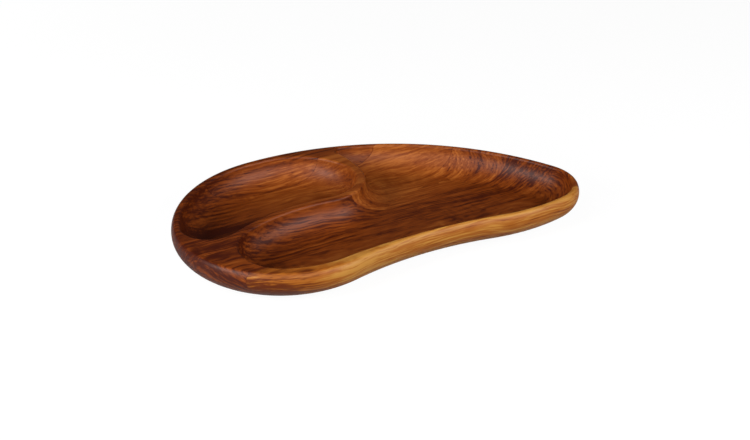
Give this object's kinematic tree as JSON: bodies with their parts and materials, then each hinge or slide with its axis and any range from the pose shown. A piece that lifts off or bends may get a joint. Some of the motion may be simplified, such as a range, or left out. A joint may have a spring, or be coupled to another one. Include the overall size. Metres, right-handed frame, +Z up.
{
  "type": "divided wooden dish",
  "caption": "Shallow comma-shaped wooden serving dish with a round well and a long curved well, split by a carved divider, glued up from edge-joined staves.",
  "frame": {"origin": "on the table, under the middle of the dish's bounding box", "axes": "+X along the staves, from the round head towards the tip of the tail; +Y towards the back; +Z up"},
  "size_m": [0.3804, 0.2232, 0.035],
  "materials": {
    "front_stave_1": "satin lacquer on russet acacia",
    "front_stave_2": "satin lacquer on russet acacia",
    "front_stave_3": "satin lacquer on golden acacia",
    "rear_stave_1": "satin lacquer on russet acacia",
    "rear_stave_2": "satin lacquer on russet acacia",
    "rear_stave_3": "satin lacquer on russet acacia"
  },
  "bodies": {
    "root": {"front_stave_1": "front_stave_1", "front_stave_2": "front_stave_2", "front_stave_3": "front_stave_3", "rear_stave_1": "rear_stave_1", "rear_stave_2": "rear_stave_2", "rear_stave_3": "rear_stave_3"}
  },
  "joints": []
}
